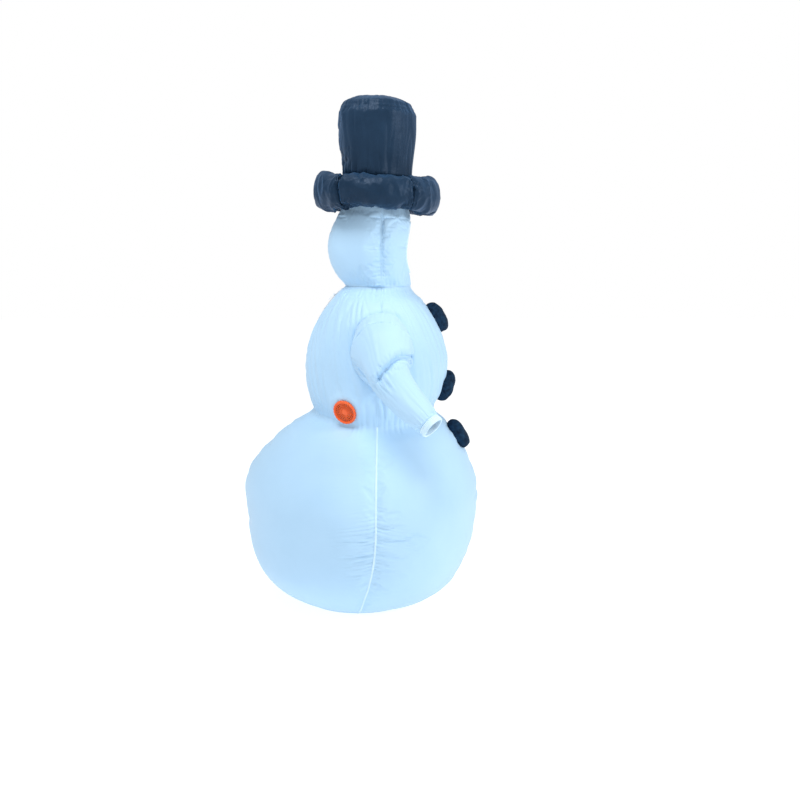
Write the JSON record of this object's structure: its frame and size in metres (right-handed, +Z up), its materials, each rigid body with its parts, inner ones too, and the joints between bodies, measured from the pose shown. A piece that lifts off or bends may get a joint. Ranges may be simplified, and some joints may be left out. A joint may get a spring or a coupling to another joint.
{
  "type": "inflatable snowman costume",
  "caption": "Inflatable snowman body with a round lower ball, hooded torso, sleeves, top hat, stuffed front buttons, waist blower and back zip.",
  "frame": {"origin": "on the floor, under the middle of the box around the whole inflated costume", "axes": "+Z up; -Y the way the snowman faces; -X its own right-hand side"},
  "size_m": [1.0044, 0.8199, 1.7435],
  "materials": {
    "white_cloth": "thin coated polyester, slightly translucent",
    "black_cloth": "thin coated polyester with a soft sheen",
    "button_cloth": "matte fleece-like cloth",
    "filling": "polyester wadding",
    "white_elastic": "knitted elastic and seam binding",
    "orange_plastic": "moulded, satin",
    "black_plastic": "moulded, satin",
    "motor_steel": "plated",
    "switch_plastic": "moulded",
    "zip_tape": "woven tape",
    "zip_plastic": "nylon",
    "cell_sleeve": "shrink sleeve"
  },
  "bodies": {
    "costume": {"ball_panel_left_back": "white_cloth", "ball_panel_left_front": "white_cloth", "ball_panel_right_back": "white_cloth", "ball_panel_right_front": "white_cloth", "base_panel": "white_cloth", "battery_pocket": "white_cloth", "button_cover_bottom": "button_cloth", "button_cover_middle": "button_cloth", "button_cover_top": "button_cloth", "button_filling_bottom": "filling", "button_filling_middle": "filling", "button_filling_top": "filling", "fan_body": "black_plastic", "fan_grille_ring": "orange_plastic", "fan_motor": "motor_steel", "fan_power_socket": "black_plastic", "leg_elastic_left": "white_elastic", "leg_elastic_right": "white_elastic", "neck_elastic": "white_elastic", "shoulder_cap_left": "white_cloth", "shoulder_cap_right": "white_cloth", "side_seam_ball_left": "white_elastic", "side_seam_ball_right": "white_elastic", "torso_panel_left_back": "white_cloth", "torso_panel_left_front": "white_cloth", "torso_panel_right_back": "white_cloth", "torso_panel_right_front": "white_cloth", "waist_elastic": "white_elastic", "zip_bottom_stop": "zip_plastic", "zip_coil_left": "zip_plastic", "zip_coil_right": "zip_plastic", "zip_tape_left": "zip_tape", "zip_tape_right": "zip_tape"},
    "head": {"face_elastic": "white_elastic", "hat_brim_segment_1": "black_cloth", "hat_brim_segment_2": "black_cloth", "hat_brim_segment_3": "black_cloth", "hat_brim_segment_4": "black_cloth", "hat_brim_segment_5": "black_cloth", "hat_crown_side": "black_cloth", "hat_crown_top": "black_cloth", "hood_panel_front": "white_cloth", "hood_panel_left_back": "white_cloth", "hood_panel_right_back": "white_cloth"},
    "right_sleeve": {"sleeve_right": "white_cloth", "wrist_cuff_right": "white_elastic"},
    "left_sleeve": {"sleeve_left": "white_cloth", "wrist_cuff_left": "white_elastic"},
    "impeller": {"fan_impeller": "orange_plastic", "fan_shaft": "motor_steel"},
    "zip_slider": {"zip_slider": "zip_plastic"},
    "zip_tab": {"zip_pull_tab": "zip_plastic"},
    "battery_pack": {"battery_box": "black_plastic", "battery_cell_1": "cell_sleeve", "battery_cell_2": "cell_sleeve", "battery_cell_3": "cell_sleeve", "battery_cell_4": "cell_sleeve"},
    "battery_lid": {"battery_lid": "black_plastic"},
    "switch": {"power_switch": "switch_plastic"}
  },
  "joints": [
    {"name": "head_turn", "type": "hinge", "parent": "costume", "child": "head", "pos_m": [0, -0.062, 1.108], "axis": [0, 0, 1], "range_deg": [-20, 20], "stiffness_Nm_per_rad": 4},
    {"name": "right_arm_swing", "type": "hinge", "parent": "costume", "child": "right_sleeve", "pos_m": [-0.271, -0.086, 0.915], "axis": [-1, 0, 0], "range_deg": [-30, 75], "stiffness_Nm_per_rad": 5},
    {"name": "left_arm_swing", "type": "hinge", "parent": "costume", "child": "left_sleeve", "pos_m": [0.271, -0.086, 0.915], "axis": [-1, 0, 0], "range_deg": [-30, 75], "stiffness_Nm_per_rad": 5},
    {"name": "fan_spin", "type": "hinge", "parent": "costume", "child": "impeller", "pos_m": [-0.22212, 0.03695, 0.70049], "axis": [-0.8582, 0.4552, -0.2372], "continuous": true},
    {"name": "zip_travel", "type": "hinge", "parent": "costume", "child": "zip_slider", "pos_m": [0, -0.196, 0.815], "axis": [-1, 0, 0], "range_deg": [0, 56]},
    {"name": "zip_tab_lift", "type": "hinge", "parent": "zip_slider", "child": "zip_tab", "pos_m": [0, 0.08552, 1.07989], "axis": [1, 0, 0], "range_deg": [0, 150]},
    {"name": "battery_pack_lift", "type": "slide", "parent": "costume", "child": "battery_pack", "axis": [0, 0, 1], "range_m": [0, 0.055]},
    {"name": "battery_lid_slide", "type": "slide", "parent": "battery_pack", "child": "battery_lid", "axis": [0, 0, 1], "range_m": [0, 0.06]},
    {"name": "power_switch_slide", "type": "slide", "parent": "battery_pack", "child": "switch", "axis": [0.8927, 0.4506, 0], "range_m": [0, 0.004]}
  ]
}
